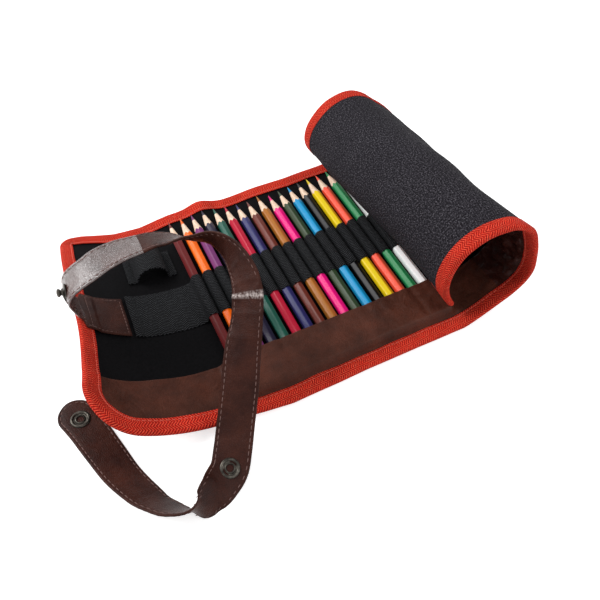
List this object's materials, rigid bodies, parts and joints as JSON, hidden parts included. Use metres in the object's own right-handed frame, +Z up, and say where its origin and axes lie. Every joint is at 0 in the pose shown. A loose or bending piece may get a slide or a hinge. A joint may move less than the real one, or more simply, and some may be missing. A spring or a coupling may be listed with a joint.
{
  "type": "pencil roll",
  "caption": "Open canvas pencil roll with red binding, coloured pencils held by an elastic band, a brown pocket band and a long snap strap; one end is still rolled up.",
  "frame": {"origin": "underside of the wrap, half-way across it, straight below the middle pencil", "axes": "+X along the wrap from its lifted left end to the roll, +Y along the pencils towards their tips, +Z up"},
  "size_m": [0.3378, 0.2581, 0.092],
  "materials": {
    "outer_canvas": "woven, matt",
    "black_lining": "woven, matt",
    "red_tape": "herringbone weave",
    "brown_leather": "pebbled, satin",
    "black_elastic": "ribbed",
    "gunmetal": "dark satin",
    "pencil_maroon": "lacquered",
    "pencil_orange": "lacquered",
    "pencil_purple": "lacquered",
    "pencil_violet": "lacquered",
    "pencil_bottle_green": "lacquered",
    "pencil_crimson": "lacquered",
    "pencil_navy": "lacquered",
    "pencil_brown": "lacquered",
    "pencil_ochre": "lacquered",
    "pencil_pink": "lacquered",
    "pencil_olive": "lacquered",
    "pencil_sky_blue": "lacquered",
    "pencil_black": "lacquered",
    "pencil_yellow": "lacquered",
    "pencil_coral": "lacquered",
    "pencil_green": "lacquered",
    "pencil_white": "lacquered"
  },
  "bodies": {
    "wrap": {"canvas_mat": "outer_canvas", "lining": "black_lining", "edge_binding": "red_tape", "pocket_band": "brown_leather", "pencil_elastic": "black_elastic", "sharpener_loop": "black_elastic", "strap_anchor_patch": "brown_leather"},
    "strap_arch_body": {"strap_arch": "brown_leather", "snap_stud": "gunmetal", "snap_stud_back": "gunmetal"},
    "strap_fall_body": {"strap_fall": "brown_leather", "snap_fall_socket": "gunmetal", "snap_fall_cap": "gunmetal"},
    "strap_tail_body": {"strap_tail": "brown_leather", "snap_tip_socket": "gunmetal", "snap_tip_cap": "gunmetal"},
    "pencil_01_maroon_body": {"pencil_01_maroon": "pencil_maroon"},
    "pencil_02_orange_body": {"pencil_02_orange": "pencil_orange"},
    "pencil_03_purple_body": {"pencil_03_purple": "pencil_purple"},
    "pencil_04_violet_body": {"pencil_04_violet": "pencil_violet"},
    "pencil_05_bottle_green_body": {"pencil_05_bottle_green": "pencil_bottle_green"},
    "pencil_06_crimson_body": {"pencil_06_crimson": "pencil_crimson"},
    "pencil_07_navy_body": {"pencil_07_navy": "pencil_navy"},
    "pencil_08_brown_body": {"pencil_08_brown": "pencil_brown"},
    "pencil_09_ochre_body": {"pencil_09_ochre": "pencil_ochre"},
    "pencil_10_pink_body": {"pencil_10_pink": "pencil_pink"},
    "pencil_11_olive_body": {"pencil_11_olive": "pencil_olive"},
    "pencil_12_sky_blue_body": {"pencil_12_sky_blue": "pencil_sky_blue"},
    "pencil_13_black_body": {"pencil_13_black": "pencil_black"},
    "pencil_14_yellow_body": {"pencil_14_yellow": "pencil_yellow"},
    "pencil_15_coral_body": {"pencil_15_coral": "pencil_coral"},
    "pencil_16_green_body": {"pencil_16_green": "pencil_green"},
    "pencil_17_white_body": {"pencil_17_white": "pencil_white"},
    "roll_1": {"roll_canvas_1": "outer_canvas", "roll_lining_1": "black_lining", "roll_binding_near_1": "red_tape", "roll_binding_far_1": "red_tape"},
    "roll_2": {"roll_canvas_2": "outer_canvas", "roll_lining_2": "black_lining", "roll_binding_near_2": "red_tape", "roll_binding_far_2": "red_tape"},
    "roll_3": {"roll_canvas_3": "outer_canvas", "roll_lining_3": "black_lining", "roll_binding_near_3": "red_tape", "roll_binding_far_3": "red_tape"},
    "roll_4": {"roll_canvas_4": "outer_canvas", "roll_lining_4": "black_lining", "roll_binding_near_4": "red_tape", "roll_binding_far_4": "red_tape"},
    "roll_5": {"roll_canvas_5": "outer_canvas", "roll_lining_5": "black_lining", "roll_binding_near_5": "red_tape", "roll_binding_far_5": "red_tape"},
    "roll_6": {"roll_canvas_6": "outer_canvas", "roll_lining_6": "black_lining", "roll_binding_end_6": "red_tape"}
  },
  "joints": [
    {"name": "pencil_01_slide", "type": "slide", "parent": "wrap", "child": "pencil_01_maroon_body", "axis": [0, 1, 0], "range_m": [0, 0.19]},
    {"name": "pencil_02_slide", "type": "slide", "parent": "wrap", "child": "pencil_02_orange_body", "axis": [0, 1, 0], "range_m": [0, 0.19]},
    {"name": "pencil_03_slide", "type": "slide", "parent": "wrap", "child": "pencil_03_purple_body", "axis": [0, 1, 0], "range_m": [0, 0.19]},
    {"name": "pencil_04_slide", "type": "slide", "parent": "wrap", "child": "pencil_04_violet_body", "axis": [0, 1, 0], "range_m": [0, 0.19]},
    {"name": "pencil_05_slide", "type": "slide", "parent": "wrap", "child": "pencil_05_bottle_green_body", "axis": [0, 1, 0], "range_m": [0, 0.19]},
    {"name": "pencil_06_slide", "type": "slide", "parent": "wrap", "child": "pencil_06_crimson_body", "axis": [0, 1, 0], "range_m": [0, 0.19]},
    {"name": "pencil_07_slide", "type": "slide", "parent": "wrap", "child": "pencil_07_navy_body", "axis": [0, 1, 0], "range_m": [0, 0.19]},
    {"name": "pencil_08_slide", "type": "slide", "parent": "wrap", "child": "pencil_08_brown_body", "axis": [0, 1, 0], "range_m": [0, 0.19]},
    {"name": "pencil_09_slide", "type": "slide", "parent": "wrap", "child": "pencil_09_ochre_body", "axis": [0, 1, 0], "range_m": [0, 0.19]},
    {"name": "pencil_10_slide", "type": "slide", "parent": "wrap", "child": "pencil_10_pink_body", "axis": [0, 1, 0], "range_m": [0, 0.19]},
    {"name": "pencil_11_slide", "type": "slide", "parent": "wrap", "child": "pencil_11_olive_body", "axis": [0, 1, 0], "range_m": [0, 0.19]},
    {"name": "pencil_12_slide", "type": "slide", "parent": "wrap", "child": "pencil_12_sky_blue_body", "axis": [0, 1, 0], "range_m": [0, 0.19]},
    {"name": "pencil_13_slide", "type": "slide", "parent": "wrap", "child": "pencil_13_black_body", "axis": [0, 1, 0], "range_m": [0, 0.19]},
    {"name": "pencil_14_slide", "type": "slide", "parent": "wrap", "child": "pencil_14_yellow_body", "axis": [0, 1, 0], "range_m": [0, 0.19]},
    {"name": "pencil_15_slide", "type": "slide", "parent": "wrap", "child": "pencil_15_coral_body", "axis": [0, 1, 0], "range_m": [0, 0.19]},
    {"name": "pencil_16_slide", "type": "slide", "parent": "wrap", "child": "pencil_16_green_body", "axis": [0, 1, 0], "range_m": [0, 0.19]},
    {"name": "pencil_17_slide", "type": "slide", "parent": "wrap", "child": "pencil_17_white_body", "axis": [0, 1, 0], "range_m": [0, 0.19]},
    {"name": "strap_root_hinge", "type": "hinge", "parent": "wrap", "child": "strap_arch_body", "pos_m": [-0.1611, 0.0044, 0.0395], "axis": [-0.089, 0.9921, -0.088], "range_deg": [-20, 0]},
    {"name": "strap_shoulder_hinge", "type": "hinge", "parent": "strap_arch_body", "child": "strap_fall_body", "pos_m": [-0.071, -0.002, 0.071], "axis": [0.4771, 0.3766, -0.7941], "range_deg": [-35, 0]},
    {"name": "strap_tail_hinge", "type": "hinge", "parent": "strap_fall_body", "child": "strap_tail_body", "pos_m": [-0.1147, -0.1372, 0.005], "axis": [-0.8926, 0.399, 0.21], "range_deg": [-38, 0]},
    {"name": "roll_hinge_1", "type": "hinge", "parent": "wrap", "child": "roll_1", "pos_m": [0.10325, 0.0001, 0.00379], "axis": [0.0072, 0.9993, -0.0358], "range_deg": [0, 29]},
    {"name": "roll_hinge_2", "type": "hinge", "parent": "roll_1", "child": "roll_2", "pos_m": [0.13522, 0.00099, 0.02174], "axis": [0.0069, 0.9987, -0.0499], "range_deg": [0, 63.8]},
    {"name": "roll_hinge_3", "type": "hinge", "parent": "roll_2", "child": "roll_3", "pos_m": [0.13273, 0.00255, 0.05723], "axis": [0.0381, 0.9976, -0.0581], "range_deg": [0, 43.5]},
    {"name": "roll_hinge_4", "type": "hinge", "parent": "roll_3", "child": "roll_4", "pos_m": [0.1054, 0.00439, 0.08126], "axis": [0.0042, 0.9951, -0.0986], "range_deg": [0, 52.2]},
    {"name": "roll_hinge_5", "type": "hinge", "parent": "roll_4", "child": "roll_5", "pos_m": [0.07012, 0.00615, 0.07358], "axis": [0.0005, 0.9974, -0.0717], "range_deg": [0, 52.2]},
    {"name": "roll_hinge_6", "type": "hinge", "parent": "roll_5", "child": "roll_6", "pos_m": [0.05471, 0.00748, 0.04058], "axis": [-0.0138, 0.9981, -0.0597], "range_deg": [0, 63.8]}
  ],
  "couplings": [
    {"joint": "roll_hinge_2", "follows": "roll_hinge_1", "ratio": 2.2},
    {"joint": "roll_hinge_3", "follows": "roll_hinge_1", "ratio": 1.5},
    {"joint": "roll_hinge_4", "follows": "roll_hinge_1", "ratio": 1.8},
    {"joint": "roll_hinge_5", "follows": "roll_hinge_1", "ratio": 1.8},
    {"joint": "roll_hinge_6", "follows": "roll_hinge_1", "ratio": 2.2}
  ]
}
